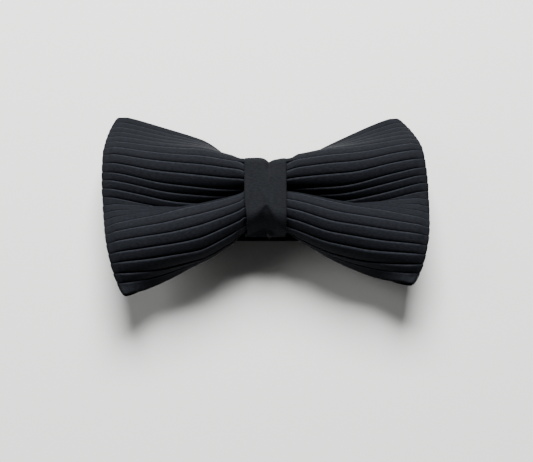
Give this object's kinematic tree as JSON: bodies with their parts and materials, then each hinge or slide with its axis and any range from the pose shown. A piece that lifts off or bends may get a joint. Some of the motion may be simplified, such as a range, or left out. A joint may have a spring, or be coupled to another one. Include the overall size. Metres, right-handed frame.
{
  "type": "bow tie",
  "caption": "Pre-tied bow tie of knife-pleated black satin with a wrapped knot and an adjustable hook-and-eye neck band folded flat behind it.",
  "frame": {"origin": "middle of the bow, on the plane that the packed tie lies on", "axes": "+X along the bow's width, +Y from its lower edge to its upper edge, +Z out of its face"},
  "size_m": [0.123, 0.07, 0.0272],
  "materials": {
    "pleated_satin": "black pleated satin, soft sheen",
    "knot_satin": "black satin, doubled",
    "band_satin": "black satin band",
    "interlining": "woven wool-blend interlining",
    "binding_thread": "waxed polyester thread",
    "sewing_thread": "spun polyester thread",
    "eye_wire": "nickel-plated steel wire",
    "slider_metal": "nickel-plated zinc casting",
    "hook_metal": "nickel-plated pressed steel"
  },
  "bodies": {
    "bow": {"pleated_bow": "pleated_satin", "waist_binding": "binding_thread", "knot_interlining": "interlining", "knot_wrap": "knot_satin", "knot_seam_stitches": "sewing_thread", "band_run_1": "band_satin", "eye_stitches": "sewing_thread", "band_fold_1": "band_satin"},
    "eye": {"eye": "eye_wire"},
    "band_2": {"band_run_2": "band_satin", "band_fold_2": "band_satin"},
    "band_3": {"band_run_3": "band_satin", "band_fold_3": "band_satin"},
    "band_4": {"band_run_4": "band_satin"},
    "hook_end": {"band_hook_bend": "band_satin", "band_return": "band_satin"},
    "hook": {"hook": "hook_metal"},
    "slider": {"slider": "slider_metal", "band_slider_loop": "band_satin", "slider_stitches": "sewing_thread"}
  },
  "joints": [
    {"name": "eye_swing", "type": "hinge", "parent": "bow", "child": "eye", "pos_m": [-0.047, 0, 0.0075], "axis": [0, 1, 0], "range_deg": [-20, 25]},
    {"name": "fold_1_opening", "type": "hinge", "parent": "bow", "child": "band_2", "pos_m": [0.054, 0, 0.00745], "axis": [0, -1, 0], "range_deg": [0, 180], "deforming": ["band_fold_1"]},
    {"name": "fold_2_opening", "type": "hinge", "parent": "band_2", "child": "band_3", "pos_m": [-0.042, 0, 0.00525], "axis": [0, 1, 0], "range_deg": [0, 180], "deforming": ["band_fold_2"]},
    {"name": "fold_3_opening", "type": "hinge", "parent": "band_3", "child": "band_4", "pos_m": [0.051, 0, 0.00313], "axis": [0, -1, 0], "range_deg": [0, 180], "deforming": ["band_fold_3"]},
    {"name": "hook_travel", "type": "slide", "parent": "band_4", "child": "hook_end", "axis": [-1, 0, 0], "range_m": [0, 0.044], "deforming": ["band_run_4"]},
    {"name": "slider_travel", "type": "slide", "parent": "hook_end", "child": "slider", "axis": [-1, 0, 0], "range_m": [0, 0.044], "deforming": ["band_return"]},
    {"name": "hook_swing", "type": "hinge", "parent": "hook_end", "child": "hook", "pos_m": [-0.026, 0, 0.00135], "axis": [0, -1, 0], "range_deg": [0, 90]}
  ],
  "couplings": [
    {"joint": "fold_2_opening", "follows": "fold_1_opening", "ratio": 1},
    {"joint": "fold_3_opening", "follows": "fold_1_opening", "ratio": 1},
    {"joint": "slider_travel", "follows": "hook_travel", "ratio": 1}
  ]
}
